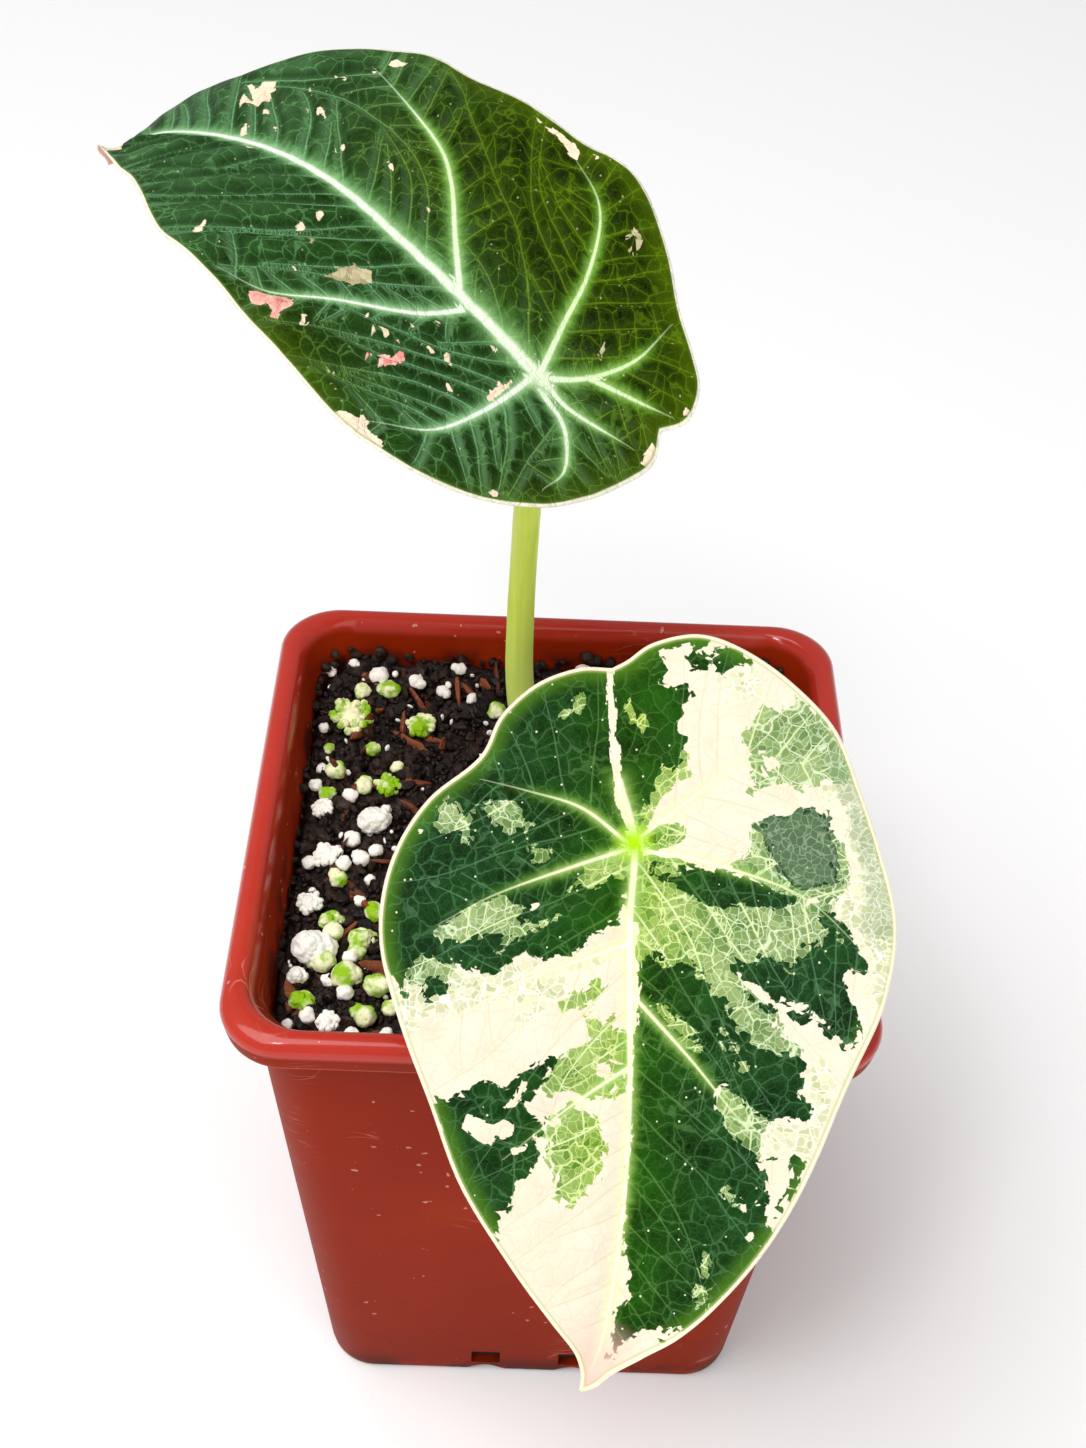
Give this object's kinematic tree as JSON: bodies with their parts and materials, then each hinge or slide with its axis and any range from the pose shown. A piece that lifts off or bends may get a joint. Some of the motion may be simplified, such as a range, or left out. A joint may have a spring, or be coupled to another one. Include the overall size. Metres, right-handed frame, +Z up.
{
  "type": "potted variegated black velvet alocasia",
  "caption": "Small aroid house plant with arching variegated leaves on upright stalks, growing in soil and perlite in a square tapered plastic pot.",
  "frame": {"origin": "centre of the pot's flat base, on the surface that it stands on", "axes": "+Z up through the pot, -Y towards the side where the lower leaf hangs over the rim, +X to the right of it"},
  "size_m": [0.0903, 0.1179, 0.1497],
  "materials": {
    "pot_plastic": "brick-red moulded plastic, half gloss, lightly scuffed and lime-spotted",
    "potting_mix": "dark damp peat with bark chips",
    "leaf_stalk": "smooth yellow-green, slightly glossy",
    "green_leaf": "dark green velvety blade with pale glowing veins and pink flecks",
    "cream_leaf": "blade in sectors of cream, marbled mid green and dark green",
    "perlite": "chalky white porous grains",
    "algae_grain": "porous grains coated in green algae"
  },
  "bodies": {
    "root": {"pot": "pot_plastic", "soil": "potting_mix", "stem": "leaf_stalk", "upper_leaf": "green_leaf", "lower_leaf": "cream_leaf", "perlite_1": "perlite", "perlite_2": "perlite", "perlite_3": "perlite", "perlite_4": "perlite", "perlite_5": "perlite", "perlite_6": "perlite", "perlite_7": "perlite", "algae_grain_1": "algae_grain", "algae_grain_2": "algae_grain", "algae_grain_3": "algae_grain", "algae_grain_4": "algae_grain", "algae_grain_5": "algae_grain", "algae_grain_6": "algae_grain"}
  },
  "joints": []
}
